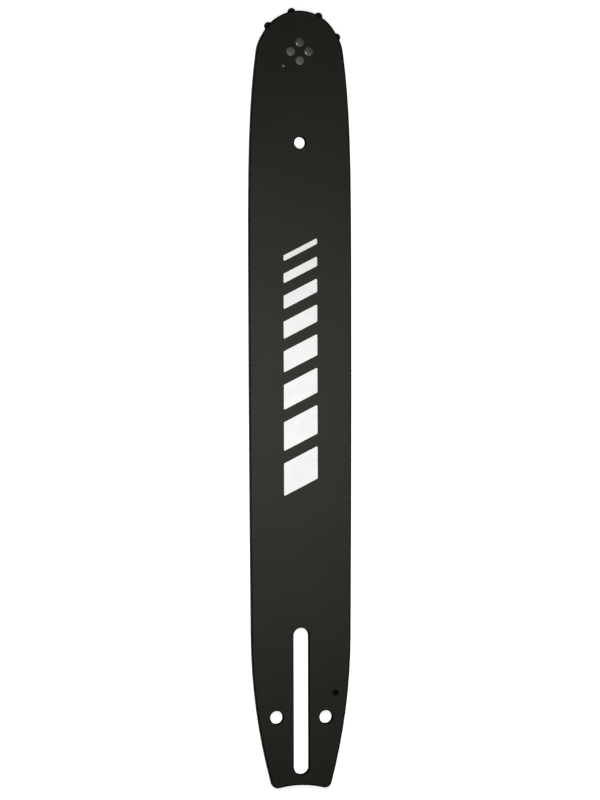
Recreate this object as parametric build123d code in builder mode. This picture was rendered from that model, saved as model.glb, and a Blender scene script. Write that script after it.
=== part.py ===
"""Laminated chainsaw guide bar with a sprocket nose.

The bar lies flat with its back face on z = 0 and its nose along +Y, and the stud slot's centre is the origin.
Two equal side plates, one turned over, hold a narrower core between them, which leaves the chain groove.
"""

import os
from math import asin, cos, floor, pi, radians, sin, tan

from build123d import *

os.makedirs("parts", exist_ok=True)

# Plates
side_plate_t = 1.4  # thickness of each side plate
core_t = 1.35  # thickness of the core, which is the width of the chain groove
groove_depth = 5.4  # from the edge of the rails to the core, across the bar
rail_chamfer = 0.4  # ground edge along the outside of both rails

# Stud slot and the tail behind it
slot_width = 8.0
slot_length = 75.8
tail_wall = 5.55  # material between the slot and the tail's hollow
tail_hollow = 2.35  # depth of the hollow in the tail's end, from the sharp corners
tail_width = 29.5  # across the two tail corners before they are rounded
tail_corner_r = 3.5
core_tail_setback = 0.5  # the core stops this far inside the tail's end

# Rails
bar_width = 53.5  # at the widest place
widest_y = 225.0  # where the rails are parallel
tail_shoulder_y = 33.2  # where the rails start to draw in to the tail
rail_taper = 0.8  # each rail has drawn in by this much at the tail shoulder

# Nose
nose_y = 335.0  # sprocket axis
nose_rail_r = 21.1  # rails round the nose
nose_wrap = 60.0  # the nose stays round for this many degrees on each side of its tip
nose_lead = 3.6  # straight run off the round nose
nose_shoulder_r = 20.0  # between that run and the flank
flank_lean = 7.8  # angle between a flank and the bar's middle line where it leaves the shoulder
nose_flank = 30.8  # reach of the flank's curve from the shoulder
rail_flank = 44.0  # reach of the flank's curve from the widest place

# Holes beside the slot and in the blade
adjuster_hole_d = 6.8
adjuster_spacing = 25.7
adjuster_y = -8.3
oil_hole_d = 2.8
oil_hole_x = 17.9
oil_hole_y = 4.2
oil_notch_r = 1.9  # relief in the core that leads the oil into the groove
hang_hole_d = 6.0
hang_hole_y = 288.0

# Nose bearing
race_r = 9.6
roller_d = 3.7
roller_gap = 0.05  # between neighbouring rollers, at least
bearing_clearance = 0.05  # between a roller and each ring
side_clearance = 0.05  # between the turning pieces and each side plate
grease_hole_d = 2.3
grease_hole_angle = 223.5  # seen from outside, counter-clockwise from across the bar

# Sprocket
teeth = 9
first_tooth_angle = 181.0
tooth_stand = 1.75  # tooth tips stand this far out of the nose rails
tooth_tip_r = 2.1
sprocket_rim = 3.05  # between the bore and the bottom of the gullets
pocket_clearance = 1.4  # between the tooth tips and the core

# Rivets
rivet_circle_r = 4.7
rivet_shank_r = 1.6
rivet_head_r = 2.25
rivet_cone_angle = 90.0
rivet_count = 4
rivet_clearance = 0.02
rivet_sink = 0.02  # heads are ground this far below the faces

# Derived heights
bar_t = 2 * side_plate_t + core_t
core_z = side_plate_t
turning_z = core_z + side_clearance
turning_t = core_t - 2 * side_clearance

# Derived tail
slot_end = slot_length / 2
tail_hollow_y = -slot_end - tail_wall
tail_corner_y = tail_hollow_y - tail_hollow

# Derived nose
roller_r = roller_d / 2
roller_orbit_r = race_r + bearing_clearance + roller_r
sprocket_bore_r = roller_orbit_r + roller_r + bearing_clearance
sprocket_root_r = sprocket_bore_r + sprocket_rim
sprocket_tip_r = nose_rail_r + tooth_stand
pocket_r = sprocket_tip_r + pocket_clearance
rivet_head_depth = (rivet_head_r - rivet_shank_r) / tan(radians(rivet_cone_angle / 2))
roller_count = floor(pi / asin((roller_d + roller_gap) / (2 * roller_orbit_r)))

# The outer face of each side plate, with its normal out of the bar
front_face = Plane(origin=(0, 0, bar_t), x_dir=(1, 0, 0), z_dir=(0, 0, 1))
back_face = Plane(origin=(0, 0, 0), x_dir=(-1, 0, 0), z_dir=(0, 0, -1))


def polar(radius, degrees):
    """A point at this radius and angle about the sketch's own origin."""
    return Vector(radius * cos(radians(degrees)), radius * sin(radians(degrees)))


def draw_outline(rail_inset, tail_inset):
    """Draw the bar's outline into the open BuildLine, set in from the rails and from the tail's end."""
    half = bar_width / 2 - rail_inset
    nose_r = nose_rail_r - rail_inset
    tail_end_y = tail_corner_y + tail_inset
    nose_centre = Vector(0, nose_y)
    leave = nose_centre + polar(nose_r, 90 - nose_wrap)
    widest = Vector(half, widest_y)
    shoulder = Vector(half - rail_taper, tail_shoulder_y)
    corner = Vector(tail_width / 2 - rail_inset, tail_end_y)
    hollow = Vector(0, tail_end_y + tail_hollow)

    middle = nose_centre + polar(nose_r, 90 - nose_wrap / 2)
    ThreePointArc(nose_centre + polar(nose_r, 90), middle, leave)
    lead = Line(leave, leave + polar(nose_lead, -nose_wrap))
    turn = JernArc(lead @ 1, lead % 1, nose_shoulder_r - rail_inset, nose_wrap + flank_lean - 90)
    Bezier(turn @ 1, turn @ 1 + (turn % 1) * nose_flank, widest + Vector(0, rail_flank), widest)
    rail = TangentArc(widest, shoulder, tangent=(0, -1))
    TangentArc(shoulder, corner, tangent=rail % 1)
    TangentArc(hollow, corner, tangent=(1, 0))
    mirror(about=Plane.YZ)


def round_tail():
    """Round the two tail corners of the open sketch."""
    fillet(vertices(Select.ALL).sort_by(Axis.Y)[:2], radius=tail_corner_r)


def draw_common_holes():
    """Draw the slot and the holes that go through all three plates into the open sketch."""
    SlotOverall(slot_length, slot_width, rotation=90)
    with Locations((-adjuster_spacing / 2, adjuster_y), (adjuster_spacing / 2, adjuster_y)):
        Circle(adjuster_hole_d / 2)
    with Locations((0, hang_hole_y)):
        Circle(hang_hole_d / 2)


def make_side_plate(outer_face):
    """One side plate, drawn on its outer face: both plates come from the same stamping."""
    outward = Axis(outer_face.origin, outer_face.z_dir)
    with BuildPart(outer_face) as plate:
        with BuildSketch(outer_face):
            with BuildLine():
                draw_outline(0, 0)
            make_face()
            round_tail()
        extrude(amount=-side_plate_t)
        chamfer(plate.faces().sort_by(outward)[-1].edges(), length=rail_chamfer)

        with BuildSketch(outer_face):
            draw_common_holes()
            with Locations((oil_hole_x, oil_hole_y)):
                Circle(oil_hole_d / 2)
            with Locations(Vector(0, nose_y) + polar(roller_orbit_r, grease_hole_angle)):
                Circle(grease_hole_d / 2)
        extrude(amount=-side_plate_t, mode=Mode.SUBTRACT)

        with Locations((0, nose_y)):
            with PolarLocations(rivet_circle_r, rivet_count):
                CounterSinkHole(
                    rivet_shank_r + rivet_clearance,
                    rivet_head_r + rivet_clearance,
                    counter_sink_angle=rivet_cone_angle,
                )
    return plate.part


def draw_sprocket_outline():
    """Draw the teeth into the open BuildLine: round tips and round gullets, tangent to each other."""
    pitch = 360 / teeth
    tip_centre_r = sprocket_tip_r - tooth_tip_r
    inner = sprocket_root_r - tooth_tip_r
    # A gullet's centre lies half way between two teeth, where its arc meets both tips and the root circle
    gullet_centre_r = (tip_centre_r**2 - inner**2) / (2 * (tip_centre_r * cos(pi / teeth) - inner))
    for tooth in range(teeth):
        angle = first_tooth_angle + tooth * pitch
        tip_centre = polar(tip_centre_r, angle)
        before = polar(gullet_centre_r, angle - pitch / 2) - tip_centre
        after = polar(gullet_centre_r, angle + pitch / 2) - tip_centre
        next_tip_centre = polar(tip_centre_r, angle + pitch)
        back = polar(gullet_centre_r, angle + pitch / 2) - next_tip_centre
        start = tip_centre + before.normalized() * tooth_tip_r
        end = tip_centre + after.normalized() * tooth_tip_r
        next_start = next_tip_centre + back.normalized() * tooth_tip_r
        ThreePointArc(start, polar(sprocket_tip_r, angle), end)
        ThreePointArc(end, polar(sprocket_root_r, angle + pitch / 2), next_start)


def nose_plane(height):
    """A level plane at this height, with its origin on the sprocket axis."""
    return Plane.XY.offset(height).shift_origin((0, nose_y, height))


# Side plates
front_side_plate = make_side_plate(front_face)
front_side_plate.label = "front_side_plate"
export_step(front_side_plate, "parts/front_side_plate.step")

back_side_plate = make_side_plate(back_face)
back_side_plate.label = "back_side_plate"
export_step(back_side_plate, "parts/back_side_plate.step")

# Core: set in from the rails, cut out round the sprocket and notched where the oil holes reach the groove
with BuildPart() as core_plate:
    with BuildSketch(Plane.XY.offset(core_z)):
        with BuildLine():
            draw_outline(groove_depth, core_tail_setback)
        make_face()
        round_tail()
    extrude(amount=core_t)
    with BuildSketch(Plane.XY.offset(core_z)):
        draw_common_holes()
        with Locations((0, nose_y)):
            Circle(pocket_r)
        with Locations((-oil_hole_x, oil_hole_y), (oil_hole_x, oil_hole_y)):
            Circle(oil_notch_r)
    extrude(amount=core_t, mode=Mode.SUBTRACT)
core_plate.part.label = "core_plate"
export_step(core_plate.part, "parts/core_plate.step")

# Nose sprocket
with BuildPart() as nose_sprocket:
    with BuildSketch(nose_plane(turning_z)):
        with BuildLine():
            draw_sprocket_outline()
        make_face()
        Circle(sprocket_bore_r, mode=Mode.SUBTRACT)
    extrude(amount=turning_t)
nose_sprocket.part.label = "nose_sprocket"
export_step(nose_sprocket.part, "parts/nose_sprocket.step")

# Bearing race, clamped between the side plates
with BuildPart() as bearing_inner_race:
    with BuildSketch(nose_plane(core_z)):
        Circle(race_r)
        with PolarLocations(rivet_circle_r, rivet_count):
            Circle(rivet_shank_r + rivet_clearance, mode=Mode.SUBTRACT)
    extrude(amount=core_t)
bearing_inner_race.part.label = "bearing_inner_race"
export_step(bearing_inner_race.part, "parts/bearing_inner_race.step")

# Rollers between the race and the sprocket
for number in range(roller_count):
    name = f"bearing_roller_{number + 1:02d}"
    with BuildPart() as roller:
        with BuildSketch(nose_plane(turning_z)):
            with Locations(polar(roller_orbit_r, number * 360 / roller_count)):
                Circle(roller_r)
        extrude(amount=turning_t)
    roller.part.label = name
    export_step(roller.part, f"parts/{name}.step")

# Rivets: one shank with a countersunk head at each face, ground level with the plates
with BuildPart() as nose_rivets:
    with BuildSketch(Plane.XZ):
        with BuildLine():
            head_end = rivet_head_depth + rivet_sink
            Polyline(
                (0, rivet_sink),
                (rivet_head_r, rivet_sink),
                (rivet_shank_r, head_end),
                (rivet_shank_r, bar_t - head_end),
                (rivet_head_r, bar_t - rivet_sink),
                (0, bar_t - rivet_sink),
                close=True,
            )
        make_face()
    rivet = revolve(axis=Axis.Z, mode=Mode.PRIVATE)
    with Locations((0, nose_y)):
        with PolarLocations(rivet_circle_r, rivet_count):
            add(rivet)
nose_rivets.part.label = "nose_rivets"
export_step(nose_rivets.part, "parts/nose_rivets.step")
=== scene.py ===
"""Looks of a laminated chainsaw guide bar with a sprocket nose.

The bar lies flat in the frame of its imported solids, with its back face on z = 0 and its nose along +Y.
The stamped side plates and the sprocket are rebuilt from the rims of their solids, with the edges that
press and grinder leave. The rivets get formed heads, the blade gets a plain printed stripe, and every
piece gets its finish. Lengths are in metres.
"""

from __future__ import annotations

import logging
import math
from dataclasses import dataclass, field
from enum import Enum, IntEnum

import bmesh
import bpy
from mathutils import Matrix, Vector

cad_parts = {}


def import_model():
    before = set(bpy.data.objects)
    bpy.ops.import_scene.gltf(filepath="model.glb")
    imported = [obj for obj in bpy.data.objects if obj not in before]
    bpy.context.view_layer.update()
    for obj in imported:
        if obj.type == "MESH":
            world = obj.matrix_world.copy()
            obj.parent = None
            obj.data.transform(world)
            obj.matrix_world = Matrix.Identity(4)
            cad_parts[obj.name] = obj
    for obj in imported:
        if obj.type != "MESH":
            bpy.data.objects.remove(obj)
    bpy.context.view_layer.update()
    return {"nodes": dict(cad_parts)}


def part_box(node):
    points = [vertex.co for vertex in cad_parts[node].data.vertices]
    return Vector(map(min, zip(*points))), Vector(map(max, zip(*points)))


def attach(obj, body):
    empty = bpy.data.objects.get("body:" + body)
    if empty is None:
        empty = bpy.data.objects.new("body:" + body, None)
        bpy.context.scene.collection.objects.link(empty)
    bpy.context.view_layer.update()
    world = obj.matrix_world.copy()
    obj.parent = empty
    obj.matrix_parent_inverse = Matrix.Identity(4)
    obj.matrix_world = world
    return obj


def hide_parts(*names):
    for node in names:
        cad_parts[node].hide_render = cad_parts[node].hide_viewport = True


LOG = logging.getLogger("guide_bar")
MM = 0.001
MICRON = 0.000001
SAME_PLACE = 2 * MICRON

Colour = tuple[float, float, float]
Rim = list[Vector]
EdgeProfile = list[tuple[float, float]]
Nodes = dict[str, bpy.types.Object]


class Body(str, Enum):
    """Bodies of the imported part."""

    BAR = "bar"
    SPROCKET = "sprocket"
    ROLLERS = "rollers"


class Slot(str, Enum):
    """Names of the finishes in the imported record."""

    PAINT = "bar_paint"
    SPROCKET = "sprocket_steel"
    RIVET = "rivet_steel"


class Side(IntEnum):
    """Outer faces of the bar, by the way that each looks along Z."""

    FRONT = 1
    BACK = -1


class PlateArea(IntEnum):
    """Areas of a side plate that have finishes of their own, in the order of its material slots."""

    FACE = 0
    RAIL = 1
    WALL = 2
    SINK = 3
    INSIDE = 4


def srgb(red: float, green: float, blue: float) -> Colour:
    """Turn an sRGB colour into a linear one.

    Args:
        red: Red level, from 0 to 255.
        green: Green level, from 0 to 255.
        blue: Blue level, from 0 to 255.

    Returns:
        Linear levels, from 0 to 1.
    """
    shares = (red / 255, green / 255, blue / 255)
    return tuple(s / 12.92 if s <= 0.04045 else ((s + 0.055) / 1.055) ** 2.4 for s in shares)


class Shader:
    """A new material with a principled surface, and short calls for the nodes that the finishes share."""

    def __init__(self, name: str) -> None:
        """Start the material.

        Args:
            name: Name of the material.
        """
        self.material = bpy.data.materials.new(name)
        self.material.use_nodes = True
        self.nodes = self.material.node_tree.nodes
        self.links = self.material.node_tree.links
        self.surface = self.nodes["Principled BSDF"]
        self.place = self.nodes.new("ShaderNodeTexCoord").outputs["Object"]

    def keep(self, socket: str, level: float) -> None:
        """Set one plain value on the surface."""
        self.surface.inputs[socket].default_value = level

    def drive(self, socket: str, source: bpy.types.NodeSocket) -> None:
        """Let a socket of the surface follow a pattern."""
        self.links.new(source, self.surface.inputs[socket])

    def noise(self, grain: Vector, detail: float = 2.0) -> bpy.types.NodeSocket:
        """Add soft noise.

        Args:
            grain: Size of a grain along X, Y and Z.
            detail: Number of finer layers.

        Returns:
            Noise between 0 and 1, mostly near 0.5.
        """
        stretch = self.nodes.new("ShaderNodeMapping")
        stretch.inputs["Scale"].default_value = [1 / length for length in grain]
        self.links.new(self.place, stretch.inputs["Vector"])
        texture = self.nodes.new("ShaderNodeTexNoise")
        texture.inputs["Scale"].default_value = 1.0
        texture.inputs["Detail"].default_value = detail
        self.links.new(stretch.outputs["Vector"], texture.inputs["Vector"])
        return texture.outputs[0]

    def rings(self, spacing: float) -> bpy.types.NodeSocket:
        """Add even rings round the piece's own Z axis.

        Args:
            spacing: Distance from ring to ring.

        Returns:
            Wave between -1 and 1.
        """
        flat = self.nodes.new("ShaderNodeVectorMath")
        flat.operation = "MULTIPLY"
        flat.inputs[1].default_value = (1, 1, 0)
        self.links.new(self.place, flat.inputs[0])
        reach = self.nodes.new("ShaderNodeVectorMath")
        reach.operation = "LENGTH"
        self.links.new(flat.outputs["Vector"], reach.inputs[0])
        turns = self.nodes.new("ShaderNodeMath")
        turns.operation = "MULTIPLY"
        turns.inputs[1].default_value = 2 * math.pi / spacing
        self.links.new(reach.outputs["Value"], turns.inputs[0])
        wave = self.nodes.new("ShaderNodeMath")
        wave.operation = "SINE"
        self.links.new(turns.outputs["Value"], wave.inputs[0])
        return wave.outputs["Value"]

    def spread(
        self, source: bpy.types.NodeSocket, low: float, high: float, start: float = 0.3, end: float = 0.7
    ) -> bpy.types.NodeSocket:
        """Carry a pattern over to another range.

        Args:
            source: Pattern to carry over.
            low: Level where the pattern is at its start.
            high: Level where the pattern is at its end.
            start: Pattern level that gives low.
            end: Pattern level that gives high.

        Returns:
            Pattern between low and high.
        """
        ranged = self.nodes.new("ShaderNodeMapRange")
        ranged.inputs["From Min"].default_value = start
        ranged.inputs["From Max"].default_value = end
        ranged.inputs["To Min"].default_value = low
        ranged.inputs["To Max"].default_value = high
        self.links.new(source, ranged.inputs["Value"])
        return ranged.outputs["Result"]

    def tint(self, share: bpy.types.NodeSocket, first: Colour, second: Colour) -> bpy.types.NodeSocket:
        """Blend two colours by a pattern.

        Args:
            share: Pattern from 0 for the first colour to 1 for the second.
            first: Linear colour.
            second: Linear colour.

        Returns:
            Blended colour.
        """
        mix = self.nodes.new("ShaderNodeMix")
        mix.data_type = "RGBA"
        colours = [socket for socket in mix.inputs if socket.type == "RGBA"]
        colours[0].default_value = (*first, 1)
        colours[1].default_value = (*second, 1)
        self.links.new(share, mix.inputs[0])
        return next(socket for socket in mix.outputs if socket.type == "RGBA")

    def colour(self, pattern: bpy.types.NodeSocket, first: Colour, second: Colour) -> None:
        """Let the base colour go from the first colour to the second with a pattern."""
        self.drive("Base Color", self.tint(self.spread(pattern, 0, 1), first, second))

    def roughen(self, pattern: bpy.types.NodeSocket, low: float, high: float) -> None:
        """Let the roughness go from the low level to the high one with a pattern."""
        self.drive("Roughness", self.spread(pattern, low, high))

    def relief(
        self, height: bpy.types.NodeSocket, depth: float, under: bpy.types.NodeSocket | None = None
    ) -> bpy.types.NodeSocket:
        """Add a fine relief.

        Args:
            height: Pattern that gives the height.
            depth: Height of a full step of the pattern.
            under: Coarser relief that this one lies on.

        Returns:
            Bent normal.
        """
        bump = self.nodes.new("ShaderNodeBump")
        bump.inputs["Distance"].default_value = depth
        self.links.new(height, bump.inputs["Height"])
        if under is not None:
            self.links.new(under, bump.inputs["Normal"])
        return bump.outputs["Normal"]


def even(size: float) -> Vector:
    """A grain of the same size every way."""
    return Vector((size, size, size))


@dataclass(frozen=True)
class BarPaint:
    """Satin olive-black paint on the stamped plates: faint clouds, fine spray grain, slight orange peel."""

    deep: Colour = srgb(39.5, 42, 35.5)
    pale: Colour = srgb(42.5, 45, 38.5)
    cloud: float = 38 * MM
    speck: float = 1.1 * MM
    peel: float = 2.4 * MM
    peel_depth: float = 4 * MICRON
    speck_depth: float = 1.5 * MICRON
    smooth: float = 0.51
    rough: float = 0.57
    gloss: float = 0.105

    def make(self) -> bpy.types.Material:
        """Make the material.

        Returns:
            The material.
        """
        shader = Shader("bar_paint")
        clouds = shader.noise(even(self.cloud), detail=3)
        specks = shader.noise(even(self.speck))
        shader.colour(clouds, self.deep, self.pale)
        shader.roughen(specks, self.smooth, self.rough)
        shader.keep("Specular IOR Level", self.gloss)
        peel = shader.relief(shader.noise(even(self.peel)), self.peel_depth)
        shader.drive("Normal", shader.relief(specks, self.speck_depth, peel))
        return shader.material


@dataclass(frozen=True)
class RailSteelShade:
    """Hardened rail edges with the grinding lines along the rail; their colour, darker than the paint, is
    painted shade.
    """

    # These dark levels are painted shade along the bar's outline; the grinding lines are the rail's own.
    deep: Colour = srgb(8, 8, 7)
    pale: Colour = srgb(22, 22, 19)
    line: Vector = field(default_factory=lambda: Vector((0.3 * MM, 14 * MM, 0.12 * MM)))
    line_depth: float = 6 * MICRON
    smooth: float = 0.42
    rough: float = 0.6
    gloss: float = 0.06

    def make(self) -> bpy.types.Material:
        """Make the material.

        Returns:
            The material.
        """
        shader = Shader("rail_steel_painted_shade")
        lines = shader.noise(self.line, detail=3)
        shader.colour(lines, self.deep, self.pale)
        shader.roughen(lines, self.smooth, self.rough)
        shader.keep("Specular IOR Level", self.gloss)
        shader.drive("Normal", shader.relief(lines, self.line_depth))
        return shader.material


@dataclass(frozen=True)
class PunchedWallShade:
    """Walls of the punched holes, with the upright lines that the punch tears; their near-black colour is
    painted shade, and they reflect nothing.
    """

    # These near-black levels are painted shade inside the holes, the slot and the groove.
    deep: Colour = srgb(9, 9, 8)
    pale: Colour = srgb(24, 24, 21)
    line: Vector = field(default_factory=lambda: Vector((0.25 * MM, 0.25 * MM, 2.5 * MM)))
    line_depth: float = 12 * MICRON
    smooth: float = 0.7
    rough: float = 0.9

    def make(self) -> bpy.types.Material:
        """Make the material.

        Returns:
            The material.
        """
        shader = Shader("punched_wall_painted_shade")
        lines = shader.noise(self.line, detail=3)
        shader.colour(lines, self.deep, self.pale)
        shader.roughen(lines, self.smooth, self.rough)
        shader.keep("Specular IOR Level", 0.0)
        shader.drive("Normal", shader.relief(lines, self.line_depth))
        return shader.material


@dataclass(frozen=True)
class CutSteel:
    """Bright countersinks round the rivets, with fine marks of the cutter."""

    deep: Colour = srgb(150, 150, 146)
    pale: Colour = srgb(205, 205, 202)
    mark: float = 0.3 * MM
    mark_depth: float = 4 * MICRON
    smooth: float = 0.22
    rough: float = 0.36

    def make(self) -> bpy.types.Material:
        """Make the material.

        Returns:
            The material.
        """
        shader = Shader("cut_steel")
        marks = shader.noise(even(self.mark), detail=3)
        shader.colour(marks, self.deep, self.pale)
        shader.roughen(marks, self.smooth, self.rough)
        shader.keep("Metallic", 1.0)
        shader.drive("Normal", shader.relief(marks, self.mark_depth))
        return shader.material


@dataclass(frozen=True)
class SheetSteel:
    """Bare rolled steel on the inner faces and the core, with rolling lines and an oily darkening."""

    deep: Colour = srgb(14, 13, 12)
    pale: Colour = srgb(38, 37, 34)
    line: Vector = field(default_factory=lambda: Vector((0.4 * MM, 30 * MM, 0.4 * MM)))
    stain: float = 9 * MM
    line_depth: float = 5 * MICRON
    smooth: float = 0.34
    rough: float = 0.55
    metal: float = 0.9

    def make(self) -> bpy.types.Material:
        """Make the material.

        Returns:
            The material.
        """
        shader = Shader("sheet_steel")
        lines = shader.noise(self.line, detail=3)
        stains = shader.noise(even(self.stain), detail=4)
        shader.colour(stains, self.deep, self.pale)
        shader.roughen(lines, self.smooth, self.rough)
        shader.keep("Metallic", self.metal)
        shader.drive("Normal", shader.relief(lines, self.line_depth))
        return shader.material


@dataclass(frozen=True)
class BlackedSteel:
    """Blackened hardened steel of the sprocket, with a fine scale and paler rubbed patches.

    Attributes:
        rub_start: Level of the patch pattern where the rubbing starts.
        rub_end: Level of the patch pattern where it is full.
    """

    deep: Colour = srgb(18, 18, 16)
    pale: Colour = srgb(44, 43, 40)
    patch: float = 2.2 * MM
    rub_start: float = 0.45
    rub_end: float = 0.8
    scale: float = 0.35 * MM
    scale_depth: float = 5 * MICRON
    smooth: float = 0.4
    rough: float = 0.62
    gloss: float = 0.3

    def make(self) -> bpy.types.Material:
        """Make the material.

        Returns:
            The material.
        """
        shader = Shader("blacked_steel")
        patches = shader.noise(even(self.patch), detail=4)
        scale = shader.noise(even(self.scale))
        rubbed = shader.spread(patches, 0, 1, self.rub_start, self.rub_end)
        shader.drive("Base Color", shader.tint(rubbed, self.deep, self.pale))
        shader.roughen(patches, self.rough, self.smooth)
        shader.keep("Specular IOR Level", self.gloss)
        shader.drive("Normal", shader.relief(scale, self.scale_depth))
        return shader.material


@dataclass(frozen=True)
class BearingSteel:
    """Ground bearing steel of the race and the rollers, with a thin film of grease."""

    deep: Colour = srgb(138, 136, 130)
    pale: Colour = srgb(182, 181, 178)
    smear: float = 1.3 * MM
    scratch: float = 0.12 * MM
    scratch_depth: float = 1.5 * MICRON
    smooth: float = 0.22
    rough: float = 0.42
    metal: float = 0.7

    def make(self) -> bpy.types.Material:
        """Make the material.

        Returns:
            The material.
        """
        shader = Shader("bearing_steel")
        smears = shader.noise(even(self.smear), detail=3)
        shader.colour(smears, self.deep, self.pale)
        shader.roughen(smears, self.smooth, self.rough)
        shader.keep("Metallic", self.metal)
        shader.drive("Normal", shader.relief(shader.noise(even(self.scratch)), self.scratch_depth))
        return shader.material


@dataclass(frozen=True)
class RivetSteel:
    """Bare rivet heads: mottled, with the rings that the forming tool leaves.

    Attributes:
        name: Name of the material.
        deep: Colour of the darker mottles.
        pale: Colour of the paler mottles.
    """

    name: str
    deep: Colour
    pale: Colour
    mottle: float = 0.9 * MM
    ring: float = 0.42 * MM
    ring_depth: float = 2.5 * MICRON
    mottle_depth: float = 16 * MICRON
    smooth: float = 0.28
    rough: float = 0.5

    def make(self) -> bpy.types.Material:
        """Make the material.

        Returns:
            The material.
        """
        shader = Shader(self.name)
        mottles = shader.noise(even(self.mottle), detail=4)
        shader.colour(mottles, self.deep, self.pale)
        shader.roughen(mottles, self.rough, self.smooth)
        shader.keep("Metallic", 1.0)
        rings = shader.relief(shader.rings(self.ring), self.ring_depth)
        shader.drive("Normal", shader.relief(mottles, self.mottle_depth, rings))
        return shader.material


@dataclass(frozen=True)
class PrintInk:
    """White screen ink on the paint, a little thinner in places."""

    full: Colour = srgb(250, 250, 249)
    thin: Colour = srgb(245, 246, 244)
    patch: float = 6 * MM
    mesh: float = 0.5 * MM
    mesh_depth: float = 3 * MICRON
    smooth: float = 0.5
    rough: float = 0.66
    gloss: float = 0.35

    def make(self) -> bpy.types.Material:
        """Make the material.

        Returns:
            The material.
        """
        shader = Shader("print_ink")
        patches = shader.noise(even(self.patch), detail=4)
        shader.colour(patches, self.full, self.thin)
        shader.roughen(patches, self.smooth, self.rough)
        shader.keep("Specular IOR Level", self.gloss)
        shader.drive("Normal", shader.relief(shader.noise(even(self.mesh)), self.mesh_depth))
        return shader.material


@dataclass(frozen=True)
class PaleFloor:
    """Pale matt floor that camera and reflections see lifted to white, with the bar's shadow on it."""

    tone: Colour = srgb(229, 229, 228)
    shade: Colour = srgb(224, 224, 223)
    cloud: float = 0.4
    rough: float = 0.9
    lift: float = 0.88

    def make(self) -> bpy.types.Material:
        """Make the material.

        Returns:
            The material.
        """
        shader = Shader("pale_floor")
        clouds = shader.noise(even(self.cloud))
        shader.colour(clouds, self.tone, self.shade)
        shader.keep("Roughness", self.rough)
        shader.keep("Specular IOR Level", 0.0)
        shader.surface.inputs["Emission Color"].default_value = (1, 1, 1, 1)
        rays = shader.nodes.new("ShaderNodeLightPath")
        seen = rays.outputs["Is Camera Ray"]
        for kind in ("Is Glossy Ray", "Is Transmission Ray"):
            either = shader.nodes.new("ShaderNodeMath")
            either.operation = "MAXIMUM"
            shader.links.new(seen, either.inputs[0])
            shader.links.new(rays.outputs[kind], either.inputs[1])
            seen = either.outputs["Value"]
        shader.drive("Emission Strength", shader.spread(seen, 0, self.lift, 0, 1))
        return shader.material


def signed_area(rim: Rim) -> float:
    """Area inside a rim, negative where the walk goes clockwise."""
    return sum(a.x * b.y - b.x * a.y for a, b in zip(rim, rim[1:] + rim[:1])) / 2


def middle(rim: Rim) -> Vector:
    """Find the middle of a rim's box.

    Args:
        rim: Rim in plan.

    Returns:
        Middle in plan.
    """
    across = [point.x for point in rim]
    along = [point.y for point in rim]
    return Vector(((min(across) + max(across)) / 2, (min(along) + max(along)) / 2))


def width(rim: Rim) -> float:
    """Width of a rim's box along X."""
    return max(point.x for point in rim) - min(point.x for point in rim)


def face_rims(solid: bpy.types.Object, level: float) -> list[Rim]:
    """Find the rims of a solid's level face.

    Args:
        solid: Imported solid, with its place in its mesh.
        level: Height of the face.

    Returns:
        The rims in plan, the outline first. The material is on the left of each walk.
    """
    shape = bmesh.new()
    shape.from_mesh(solid.data)
    bmesh.ops.remove_doubles(shape, verts=shape.verts, dist=SAME_PLACE)
    face = {f for f in shape.faces if all(abs(vert.co.z - level) < SAME_PLACE for vert in f.verts)}
    ahead: dict[bmesh.types.BMVert, list[bmesh.types.BMVert]] = {}
    for edge in shape.edges:
        if sum(f in face for f in edge.link_faces) == 1:
            ahead.setdefault(edge.verts[0], []).append(edge.verts[1])
            ahead.setdefault(edge.verts[1], []).append(edge.verts[0])
    rims = []
    while ahead:
        start = next(iter(ahead))
        walk = [start]
        while True:
            onward = [vert for vert in ahead.pop(walk[-1]) if vert in ahead]
            if not onward:
                break
            walk.append(onward[0])
        rims.append([Vector(vert.co.xy) for vert in walk])
    shape.free()
    rims.sort(key=lambda rim: -abs(signed_area(rim)))
    for index, rim in enumerate(rims):
        if (signed_area(rim) > 0) != (index == 0):
            rim.reverse()
    return rims


def moved_in(rim: Rim, distance: float) -> Rim:
    """Move a rim into the material.

    Args:
        rim: Rim with the material on the left of the walk.
        distance: How far to move it.

    Returns:
        The moved rim, with as many points.
    """
    moved = []
    for before, here, after in zip(rim[-1:] + rim[:-1], rim, rim[1:] + rim[:1]):
        came = (here - before).normalized()
        goes = (after - here).normalized()
        left = Vector((-came.y - goes.y, came.x + goes.x)).normalized()
        moved.append(here + left * (distance / left.dot(Vector((-goes.y, goes.x)))))
    return moved


def rolled_edge(reach: float, drop: float, steps: int = 4) -> EdgeProfile:
    """Round edge that a punch leaves.

    Args:
        reach: Reach of the round along the face.
        drop: Reach of the round down the wall.
        steps: Number of faces across it.

    Returns:
        Distances in from the wall and down from the face, starting on the face.
    """
    turns = [math.pi / 2 * step / steps for step in range(steps + 1)]
    return [(reach * (1 - math.sin(turn)), drop * (1 - math.cos(turn))) for turn in turns]


def ground_edge(length: float, soft: float, steps: int = 3) -> EdgeProfile:
    """Chamfer of 45 degrees with softened corners.

    Args:
        length: Size of the chamfer along the face and along the wall.
        soft: Reach of the softened corners.
        steps: Number of faces across each of them.

    Returns:
        Distances in from the wall and down from the face, starting on the face.
    """
    slant = soft * math.sqrt(0.5)
    profile = []
    for step in range(steps + 1):
        turn = step / steps
        profile.append((length + soft * (1 - turn) ** 2 - slant * turn**2, slant * turn**2))
    return profile + [(depth, inset) for inset, depth in reversed(profile)]


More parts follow.
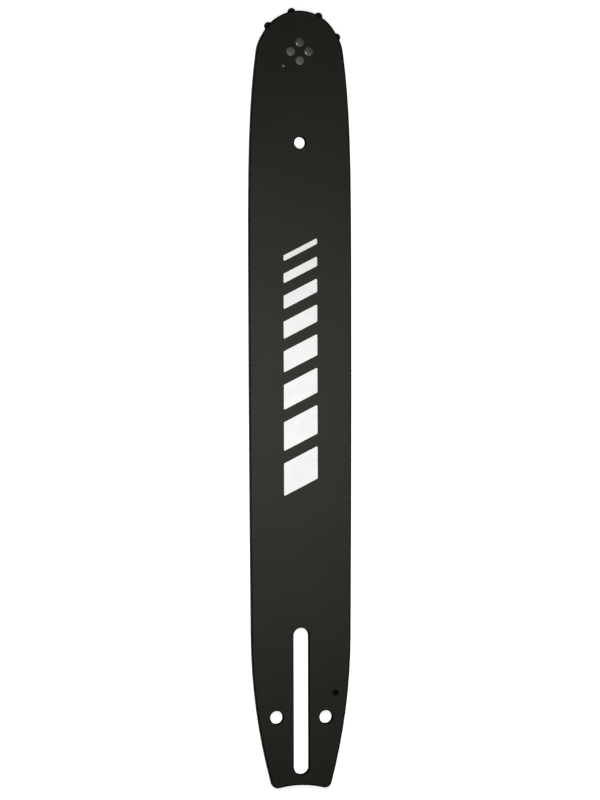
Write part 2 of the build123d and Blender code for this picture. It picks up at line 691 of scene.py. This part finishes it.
class SheetMaker:
    """Builds one flat sheet between two level faces from its rims and the profiles of their edges."""

    def __init__(self, face_level: float, thickness: float, side: Side) -> None:
        """Start an empty sheet.

        Args:
            face_level: Height of the face that the profiles start on.
            thickness: Thickness of the sheet.
            side: Way that this face looks.
        """
        self.face_level = face_level
        self.thickness = thickness
        self.side = side
        self.shape = bmesh.new()
        self.near_edges: list[bmesh.types.BMEdge] = []
        self.far_edges: list[bmesh.types.BMEdge] = []

    def add_edge(self, rim: Rim, profile: EdgeProfile, areas: list[int]) -> None:
        """Add the wall along one rim.

        Args:
            rim: Rim with the material on the left of the walk.
            profile: Distances in from the rim and down from the face, from the face to the other face.
            areas: Index of the finish of each step of the profile.
        """
        rings = []
        for inset, depth in profile:
            level = self.face_level - self.side * depth
            rings.append([self.shape.verts.new((*point, level)) for point in moved_in(rim, inset)])
        for upper, lower, area in zip(rings, rings[1:], areas):
            for here in range(len(rim)):
                quad = self.shape.faces.new((upper[here - 1], upper[here], lower[here], lower[here - 1]))
                quad.smooth = True
                quad.material_index = area
        for ring, edges in ((rings[0], self.near_edges), (rings[-1], self.far_edges)):
            edges.extend(self.shape.edges.get((ring[here - 1], ring[here])) for here in range(len(ring)))

    def close(self, name: str, near_area: int = 0, far_area: int = 0) -> bpy.types.Object:
        """Close both faces and make the piece.

        Args:
            name: Name of the piece.
            near_area: Index of the finish of the face that the profiles start on.
            far_area: Index of the finish of the other face.

        Returns:
            The piece, in place.
        """
        for edges, area in ((self.near_edges, near_area), (self.far_edges, far_area)):
            filled = bmesh.ops.triangle_fill(self.shape, use_beauty=True, edges=edges)
            for item in filled["geom"]:
                if isinstance(item, bmesh.types.BMFace):
                    item.material_index = area
        bmesh.ops.recalc_face_normals(self.shape, faces=self.shape.faces)
        return make_piece(name, self.shape)


def make_piece(name: str, shape: bmesh.types.BMesh) -> bpy.types.Object:
    """Turn a finished shape into a piece of the scene.

    Args:
        name: Name of the piece.
        shape: Shape, which is used up.

    Returns:
        The piece.
    """
    mesh = bpy.data.meshes.new(name)
    shape.to_mesh(mesh)
    shape.free()
    piece = bpy.data.objects.new(name, mesh)
    bpy.context.scene.collection.objects.link(piece)
    return piece


def set_finishes(piece: bpy.types.Object, *finishes: bpy.types.Material) -> None:
    """Give a piece its finishes and keep which face has which.

    Args:
        piece: Piece to dress.
        finishes: Materials in the order of its material slots.
    """
    areas = [polygon.material_index for polygon in piece.data.polygons]
    piece.data.materials.clear()
    for finish in finishes:
        piece.data.materials.append(finish)
    piece.data.polygons.foreach_set("material_index", areas)


def report(piece: bpy.types.Object, body: Body) -> None:
    """Write one line on a piece."""
    LOG.info("%s: %d faces, on %s", piece.name, len(piece.data.polygons), body.value)


@dataclass
class Lamination:
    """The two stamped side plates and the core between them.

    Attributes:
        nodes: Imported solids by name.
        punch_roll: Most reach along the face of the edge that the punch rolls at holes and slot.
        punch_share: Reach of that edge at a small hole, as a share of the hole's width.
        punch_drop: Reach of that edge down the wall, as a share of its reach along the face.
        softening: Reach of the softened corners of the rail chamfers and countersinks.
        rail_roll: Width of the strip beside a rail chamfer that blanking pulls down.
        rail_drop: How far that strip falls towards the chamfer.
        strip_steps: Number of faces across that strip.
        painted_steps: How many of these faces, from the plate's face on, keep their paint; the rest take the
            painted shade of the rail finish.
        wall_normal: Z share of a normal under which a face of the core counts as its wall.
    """

    nodes: Nodes
    punch_roll: float = 0.4 * MM
    punch_share: float = 0.067
    punch_drop: float = 0.325
    softening: float = 0.1 * MM
    rail_roll: float = 0.55 * MM
    rail_drop: float = 0.14 * MM
    strip_steps: int = 5
    painted_steps: int = 3
    wall_normal: float = 0.5

    def worked_edge(self, outline: bool, size: float, slope: float) -> tuple[EdgeProfile, list[int]]:
        """Choose how the press or the grinder leaves one rim.

        Args:
            outline: Whether the rim is the plate's outline.
            size: Width of the rim.
            slope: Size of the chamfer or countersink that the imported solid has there.

        Returns:
            Profile of the edge, and the finish of each of its steps with the wall below it.
        """
        if slope <= self.softening:
            reach = min(self.punch_roll, self.punch_share * size)
            profile = rolled_edge(reach, self.punch_drop * reach)
            return profile, [PlateArea.WALL] * len(profile)
        profile = ground_edge(slope, self.softening)
        if outline:
            start = profile[0][0]
            shares = [step / self.strip_steps for step in range(self.strip_steps)]
            strip = [(start + self.rail_roll * (1 - share), self.rail_drop * share**2) for share in shares]
            profile = strip + [(inset, depth + self.rail_drop) for inset, depth in profile]
            # Past these faces the strip, the chamfer and the wall take the dark rail finish: a band of
            # painted shade along the outline.
            painted = [PlateArea.FACE] * self.painted_steps
            return profile, painted + [PlateArea.RAIL] * (len(profile) - self.painted_steps)
        corner = len(profile) // 2 - 1
        return profile, [PlateArea.FACE] * corner + [PlateArea.SINK] * (len(profile) - corner)

    def build_plate(self, solid_name: str, piece_name: str, side: Side) -> bpy.types.Object:
        """Build a side plate with rolled hole edges and softened rail chamfers.

        Args:
            solid_name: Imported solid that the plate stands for.
            piece_name: Name of the new piece.
            side: Face of the bar that the plate forms.

        Returns:
            The plate.
        """
        low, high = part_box(solid_name)
        thickness = high.z - low.z
        outer, inner = (high.z, low.z) if side is Side.FRONT else (low.z, high.z)
        outer_rims = face_rims(self.nodes[solid_name], outer)
        sheet = SheetMaker(outer, thickness, side)
        for index, rim in enumerate(face_rims(self.nodes[solid_name], inner)):
            partner = min(outer_rims, key=lambda other: (middle(other) - middle(rim)).length)
            slope = abs(width(partner) - width(rim)) / 2
            profile, areas = self.worked_edge(index == 0, width(rim), slope)
            sheet.add_edge(rim, profile + [(0.0, thickness)], areas)
        plate = sheet.close(piece_name, PlateArea.FACE, PlateArea.INSIDE)
        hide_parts(solid_name)
        return plate

    def build(self) -> list[bpy.types.Object]:
        """Build both side plates.

        Returns:
            The front plate and the back plate.
        """
        front = self.build_plate("front_side_plate", "front_plate", Side.FRONT)
        back = self.build_plate("back_side_plate", "back_plate", Side.BACK)
        return [front, back]

    def dress(self, plates: list[bpy.types.Object]) -> None:
        """Paint the plates and leave their inner faces, countersinks and the core's flat faces bare; rail
        edges and the walls of holes, slot and groove get dark painted shade.

        Args:
            plates: The side plates.
        """
        sheet_steel = SheetSteel().make()
        wall_shade = PunchedWallShade().make()
        finishes = BarPaint().make(), RailSteelShade().make(), wall_shade, CutSteel().make(), sheet_steel
        for plate in plates:
            set_finishes(plate, *finishes)
            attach(plate, Body.BAR.value)
            report(plate, Body.BAR)
        core = self.nodes["core_plate"]
        set_finishes(core, sheet_steel, wall_shade)
        # The core's walls, which form the floor of the groove and the walls of its holes and slot, take the
        # near-black painted shade.
        for polygon in core.data.polygons:
            polygon.material_index = int(abs(polygon.normal.z) < self.wall_normal)
        report(core, Body.BAR)


@dataclass
class NoseBearing:
    """The sprocket, the rollers that it turns on and the race inside them.

    Attributes:
        nodes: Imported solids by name.
        tooth_round: Radius of the tumbled edges of the sprocket.
    """

    nodes: Nodes
    tooth_round: float = 0.18 * MM

    def build(self) -> bpy.types.Object:
        """Build the sprocket with tumbled edges.

        Returns:
            The sprocket.
        """
        name = "nose_sprocket"
        low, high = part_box(name)
        thickness = high.z - low.z
        sheet = SheetMaker(high.z, thickness, Side.FRONT)
        upper = rolled_edge(self.tooth_round, self.tooth_round)
        lower = [(inset, thickness - depth) for inset, depth in reversed(upper)]
        for rim in face_rims(self.nodes[name], high.z):
            sheet.add_edge(rim, upper + lower, [0] * (2 * len(upper)))
        sprocket = sheet.close("sprocket")
        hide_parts(name)
        return sprocket

    def dress(self, sprocket: bpy.types.Object) -> None:
        """Blacken the sprocket and grind the rollers and the race.

        Args:
            sprocket: The sprocket.
        """
        set_finishes(sprocket, BlackedSteel().make())
        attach(sprocket, Body.SPROCKET.value)
        report(sprocket, Body.SPROCKET)
        ground = BearingSteel().make()
        for name, solid in sorted(self.nodes.items()):
            if name.startswith("bearing_"):
                set_finishes(solid, ground)
                report(solid, Body.ROLLERS if "roller" in name else Body.BAR)


@dataclass(frozen=True)
class HeadForm:
    """How the front head of one rivet came out.

    Attributes:
        lean: Rise of the head along X and Y; its low side lies deeper in the countersink.
        mark_width: Width of the bright slanted mark that the press leaves at the edge, or 0 for none.
        mark_turn: Way from the axis to that mark, in degrees from +X.
        mark_slope: Fall of the mark towards the edge.
        mark_bend: How fast the mark gets narrower to both sides, per metre.
    """

    lean: tuple[float, float]
    mark_width: float = 0.0
    mark_turn: float = 0.0
    mark_slope: float = 0.33
    mark_bend: float = 90.0

    def past_mark_edge(self, radius: float, point: Vector) -> float:
        """Find how far a point of the head lies inside the mark.

        Args:
            radius: Radius of the head.
            point: Point in plan, from the axis.

        Returns:
            Distance past the mark's inner edge, or 0 off the mark.
        """
        turn = math.radians(self.mark_turn)
        towards = Vector((math.cos(turn), math.sin(turn)))
        edge = radius - self.mark_width + self.mark_bend * point.cross(towards) ** 2
        return max(0.0, point.dot(towards) - edge)

    def sink(self, radius: float, point: Vector) -> float:
        """Find how deep a point of the head lies for its lean and its mark.

        Args:
            radius: Radius of the head.
            point: Point in plan, from the axis.

        Returns:
            Depth below an even head.
        """
        slope = Vector(self.lean)
        lean = radius * slope.length - point.dot(slope)
        return lean + self.mark_slope * self.past_mark_edge(radius, point)


@dataclass
class NoseRivets:
    """Flush rivets through the nose, each with a formed head at both faces.

    Attributes:
        nodes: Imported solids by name.
        crown: Rise of a head from its shoulder to its middle.
        shoulder: Width of the rounded edge of a head.
        shoulder_drop: How far that edge falls away.
        crown_steps: Number of faces from the middle of a head to its shoulder.
        shoulder_steps: Number of faces across the shoulder.
        segments: Number of sides round a rivet.
        heads: Forms of the front heads, in order round the nose from +X.
    """

    nodes: Nodes
    crown: float = 0.03 * MM
    shoulder: float = 0.3 * MM
    shoulder_drop: float = 0.04 * MM
    crown_steps: int = 12
    shoulder_steps: int = 5
    segments: int = 56
    heads: tuple[HeadForm, ...] = (
        HeadForm(lean=(0.02, 0.01), mark_width=0.55 * MM, mark_turn=211),
        HeadForm(lean=(0.02, 0.01), mark_width=0.64 * MM, mark_turn=212),
        HeadForm(lean=(0.0, 0.02)),
        HeadForm(lean=(0.008, 0.02)),
    )

    def head_profile(self, radius: float) -> list[tuple[float, float]]:
        """Lay out a head from its middle to its edge.

        Args:
            radius: Radius of the head.

        Returns:
            Distances from the rivet's axis and down from the top of the head.
        """
        flat = radius - self.shoulder
        profile = []
        for step in range(1, self.crown_steps + 1):
            share = step / self.crown_steps
            profile.append((flat * share, self.crown * share**2))
        for step in range(1, self.shoulder_steps + 1):
            share = step / self.shoulder_steps
            profile.append((flat + self.shoulder * share, self.crown + self.shoulder_drop * share**2))
        return profile

    def build_rivet(self, name: str, rim: Rim, shank: float, form: HeadForm) -> bpy.types.Object:
        """Build one rivet about its own axis.

        Args:
            name: Name of the piece.
            rim: Rim of its packed front head.
            shank: Radius of the shank.
            form: Form of the front head.

        Returns:
            The rivet, in place.
        """
        low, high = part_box("nose_rivets")
        radius = width(rim) / 2
        head = self.head_profile(radius)
        neck = radius - shank
        # Each ring has its reach, the level that it falls from, its drop, and its share of the form.
        front = [(reach, high.z, drop, 1.0) for reach, drop in head]
        back = [(reach, low.z, -drop, 0.0) for reach, drop in reversed(head)]
        stem = [(shank, high.z, neck, 0.0), (shank, low.z, -neck, 0.0)]
        shape = bmesh.new()
        rings = []
        marked = set()
        for reach, level, drop, share in front + stem + back:
            ring = []
            for step in range(self.segments):
                turn = 2 * math.pi * step / self.segments
                way = Vector((math.cos(turn), math.sin(turn)))
                sink = share * form.sink(radius, way * reach)
                inside = min(reach, radius - abs(drop) - sink)
                ring.append(shape.verts.new((*(way * inside), level - drop - sink)))
                if share and form.past_mark_edge(radius, way * reach):
                    marked.add(ring[-1])
            rings.append(ring)
        for upper, lower in zip(rings, rings[1:]):
            for here in range(self.segments):
                quad = shape.faces.new((upper[here - 1], upper[here], lower[here], lower[here - 1]))
                quad.smooth = True
                quad.material_index = int(marked.issuperset(quad.verts))
        for ring in (rings[0], rings[-1]):
            shape.faces.new(ring).smooth = True
        bmesh.ops.recalc_face_normals(shape, faces=shape.faces)
        rivet = make_piece(name, shape)
        rivet.location = (*middle(rim), 0)
        return rivet

    def build(self) -> list[bpy.types.Object]:
        """Build all rivets.

        Returns:
            The rivets, in order round the nose from +X.
        """
        name = "nose_rivets"
        low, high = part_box(name)
        axis = ((low + high) / 2).xy
        rims = face_rims(self.nodes[name], high.z)
        rims.sort(key=lambda rim: (middle(rim) - axis).angle_signed(Vector((1, 0))) % (2 * math.pi))
        centre = middle(rims[0])
        near = [v.co.xy for v in self.nodes[name].data.vertices if (v.co.xy - centre).length < width(rims[0])]
        shank = min((point - centre).length for point in near)
        rivets = []
        for number, (rim, form) in enumerate(zip(rims, self.heads), start=1):
            rivets.append(self.build_rivet(f"nose_rivet_{number}", rim, shank, form))
        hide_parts(name)
        return rivets

    def dress(self, rivets: list[bpy.types.Object]) -> None:
        """Give the rivets their bare steel, brighter where the press left a mark.

        Args:
            rivets: The rivets.
        """
        pressed = RivetSteel("pressed_rivet_steel", deep=srgb(77, 76, 73), pale=srgb(189, 187, 182)).make()
        ground = RivetSteel("ground_rivet_steel", deep=srgb(113, 108, 99), pale=srgb(199, 190, 179)).make()
        bright = RivetSteel("press_mark_steel", deep=srgb(190, 189, 185), pale=srgb(232, 231, 227)).make()
        for rivet, form in zip(rivets, self.heads):
            finishes = (pressed, bright) if form.mark_width else (ground,)
            set_finishes(rivet, *finishes)
            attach(rivet, Body.BAR.value)
            report(rivet, Body.BAR)


@dataclass
class BladePrint:
    """A plain printed stripe on the front of the blade: slanted bars that get thinner towards the nose.

    Attributes:
        start: Where the stripe starts along the bar.
        length: Length of the stripe.
        width: Width of the stripe across the bar.
        bars: Number of bars.
        gap: Bare paint from bar to bar.
        thinnest: Thickness of the last bar along the bar.
        slant: How far each bar leans along the bar over the stripe's width.
        corner: Radius of the corners.
        ink: Thickness of the ink.
        bite: How far the ink reaches into the paint.
    """

    start: float = 106 * MM
    length: float = 133 * MM
    width: float = 17.5 * MM
    bars: int = 8
    gap: float = 6.4 * MM
    thinnest: float = 3 * MM
    slant: float = 9 * MM
    corner: float = 0.5 * MM
    ink: float = 20 * MICRON
    bite: float = 4 * MICRON

    def bar_corners(self) -> list[list[Vector]]:
        """Lay out the bars.

        Returns:
            The four corners of each bar, counter-clockwise.
        """
        inked = self.length - self.slant - self.gap * (self.bars - 1)
        step = 2 * (inked / self.bars - self.thinnest) / (self.bars - 1)
        half = self.width / 2
        corners = []
        near = self.start
        for bar in range(self.bars):
            far = near + self.thinnest + step * (self.bars - 1 - bar)
            corners.append([
                Vector((-half, near)),
                Vector((half, near + self.slant)),
                Vector((half, far + self.slant)),
                Vector((-half, far)),
            ])
            near = far + self.gap
        return corners

    def rounded(self, corners: list[Vector], steps: int = 4) -> list[Vector]:
        """Round the corners of a bar.

        Args:
            corners: Corners, counter-clockwise.
            steps: Number of sides round a corner.

        Returns:
            Points of the rounded outline.
        """
        outline = []
        for before, here, after in zip(corners[-1:] + corners[:-1], corners, corners[1:] + corners[:1]):
            back = (before - here).normalized()
            ahead = (after - here).normalized()
            half_turn = back.angle(ahead) / 2
            centre = here + (back + ahead).normalized() * (self.corner / math.sin(half_turn))
            first = here + back * (self.corner / math.tan(half_turn)) - centre
            sweep = math.pi - 2 * half_turn
            for step in range(steps + 1):
                outline.append(centre + Matrix.Rotation(sweep * step / steps, 2) @ first)
        return outline

    def build(self) -> bpy.types.Object:
        """Build the ink as thin closed slabs on the front face.

        Returns:
            The stripe.
        """
        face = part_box("front_side_plate")[1].z
        shape = bmesh.new()
        for corners in self.bar_corners():
            outline = self.rounded(corners)
            under = [shape.verts.new((*point, face - self.bite)) for point in outline]
            above = [shape.verts.new((*point, face + self.ink)) for point in outline]
            shape.faces.new(above)
            shape.faces.new(under[::-1])
            for here in range(len(outline)):
                shape.faces.new((under[here - 1], under[here], above[here], above[here - 1]))
        return make_piece("blade_print", shape)

    def dress(self, stripe: bpy.types.Object) -> None:
        """Give the stripe its ink.

        Args:
            stripe: The printed stripe.
        """
        set_finishes(stripe, PrintInk().make())
        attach(stripe, Body.BAR.value)
        report(stripe, Body.BAR)


@dataclass(frozen=True)
class SoftLamp:
    """A rectangular soft box.

    Attributes:
        name: Name of the lamp.
        place: Where it hangs.
        aim: Point that it shines at.
        size: Its two sides.
        watts: Its power.
    """

    name: str
    place: Vector
    aim: Vector
    size: tuple[float, float]
    watts: float

    def hang(self) -> None:
        """Put the lamp into the scene."""
        lamp = bpy.data.lights.new(self.name, "AREA")
        lamp.shape = "RECTANGLE"
        lamp.size, lamp.size_y = self.size
        lamp.energy = self.watts
        holder = bpy.data.objects.new(self.name, lamp)
        holder.location = self.place
        holder.visible_camera = False
        holder.rotation_euler = (self.aim - self.place).to_track_quat("-Z", "Y").to_euler()
        bpy.context.scene.collection.objects.link(holder)


@dataclass
class Studio:
    """Floor, light and camera.

    Attributes:
        floor_radius: Radius of the floor.
        floor_sides: Number of sides round the floor.
        floor_drop: How far the floor lies under the bar's back face.
        horizon: Level of the room's light near the horizon.
        zenith: Level of the room's light overhead.
        wall_top: Z of the direction up to which the walls give their full light.
        ceiling_start: Z of the direction from which the ceiling has its own level.
        eye: Where the camera stands.
        sight: Way that the camera looks.
        roll: Turn of the camera about its sight, in radians.
        focal_pixels: Focal length in pixels of the image.
        image_height: Height of the image in pixels.
        sensor: Height of the sensor in millimetres.
    """

    floor_radius: float = 9.0
    floor_sides: int = 96
    floor_drop: float = 30 * MICRON
    horizon: float = 0.25
    zenith: float = 0.02
    wall_top: float = 0.2
    ceiling_start: float = 0.75
    eye: Vector = field(default_factory=lambda: Vector((-0.31433, 0.18858, 1.98269)))
    sight: Vector = field(default_factory=lambda: Vector((0.1567, -0.0165, -0.9875)))
    roll: float = 0.0027
    focal_pixels: float = 3886.7
    image_height: float = 800.0
    sensor: float = 24.0

    def lamps(self) -> list[SoftLamp]:
        """Lay out the lamps.

        Returns:
            A soft box over the middle of the bar, and a smaller and weaker one higher up on the left.
        """
        blade = Vector((0, 0.138, 0))
        over = Vector((-0.02, 0.149, 0.25))
        left = Vector((-0.2, 0.22, 0.45))
        return [
            SoftLamp("blade_lamp", place=over, aim=blade, size=(0.14, 0.14), watts=0.55),
            SoftLamp("side_lamp", place=left, aim=blade, size=(0.1, 0.1), watts=0.2),
        ]

    def lay_floor(self) -> None:
        """Lay the floor."""
        shape = bmesh.new()
        bmesh.ops.create_circle(shape, cap_ends=True, segments=self.floor_sides, radius=self.floor_radius)
        floor = make_piece("floor", shape)
        floor.location.z = -self.floor_drop
        set_finishes(floor, PaleFloor().make())

    def light_room(self) -> None:
        """Light the room softly: pale walls and a dim ceiling."""
        world = bpy.data.worlds.new("room")
        world.use_nodes = True
        nodes, links = world.node_tree.nodes, world.node_tree.links
        way = nodes.new("ShaderNodeSeparateXYZ")
        links.new(nodes.new("ShaderNodeTexCoord").outputs["Generated"], way.inputs["Vector"])
        rise = nodes.new("ShaderNodeMapRange")
        rise.interpolation_type = "SMOOTHSTEP"
        rise.inputs["From Min"].default_value = self.wall_top
        rise.inputs["From Max"].default_value = self.ceiling_start
        rise.inputs["To Min"].default_value = self.horizon
        rise.inputs["To Max"].default_value = self.zenith
        links.new(way.outputs["Z"], rise.inputs["Value"])
        background = nodes["Background"]
        background.inputs["Color"].default_value = (1, 1, 1, 1)
        links.new(rise.outputs["Result"], background.inputs["Strength"])
        bpy.context.scene.world = world

    def set_camera(self) -> None:
        """Stand the camera where the photograph was taken."""
        camera = bpy.data.cameras.new("camera")
        camera.sensor_fit = "VERTICAL"
        camera.sensor_height = self.sensor
        camera.lens = self.focal_pixels / self.image_height * self.sensor
        holder = bpy.data.objects.new("camera", camera)
        back = -self.sight.normalized()
        right = Vector((0, 1, 0)).cross(back).normalized()
        turned = Matrix.Rotation(-self.roll, 3, back) @ right
        rotation = Matrix((turned, back.cross(turned), back)).transposed()
        holder.matrix_world = Matrix.Translation(self.eye) @ rotation.to_4x4()
        bpy.context.scene.collection.objects.link(holder)
        bpy.context.scene.camera = holder

    def build(self) -> None:
        """Set up the whole studio."""
        self.lay_floor()
        self.light_room()
        self.set_camera()
        for lamp in self.lamps():
            lamp.hang()
        bpy.context.scene.view_settings.view_transform = "Standard"


def main() -> None:
    """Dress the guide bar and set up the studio."""
    logging.basicConfig(level=logging.INFO, format="%(name)s: %(message)s")
    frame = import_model()
    nodes: Nodes = frame["nodes"]

    lamination = Lamination(nodes)
    lamination.dress(lamination.build())
    bearing = NoseBearing(nodes)
    bearing.dress(bearing.build())
    rivets = NoseRivets(nodes)
    rivets.dress(rivets.build())
    stripe = BladePrint()
    stripe.dress(stripe.build())
    Studio().build()


if __name__ == "__main__":
    main()
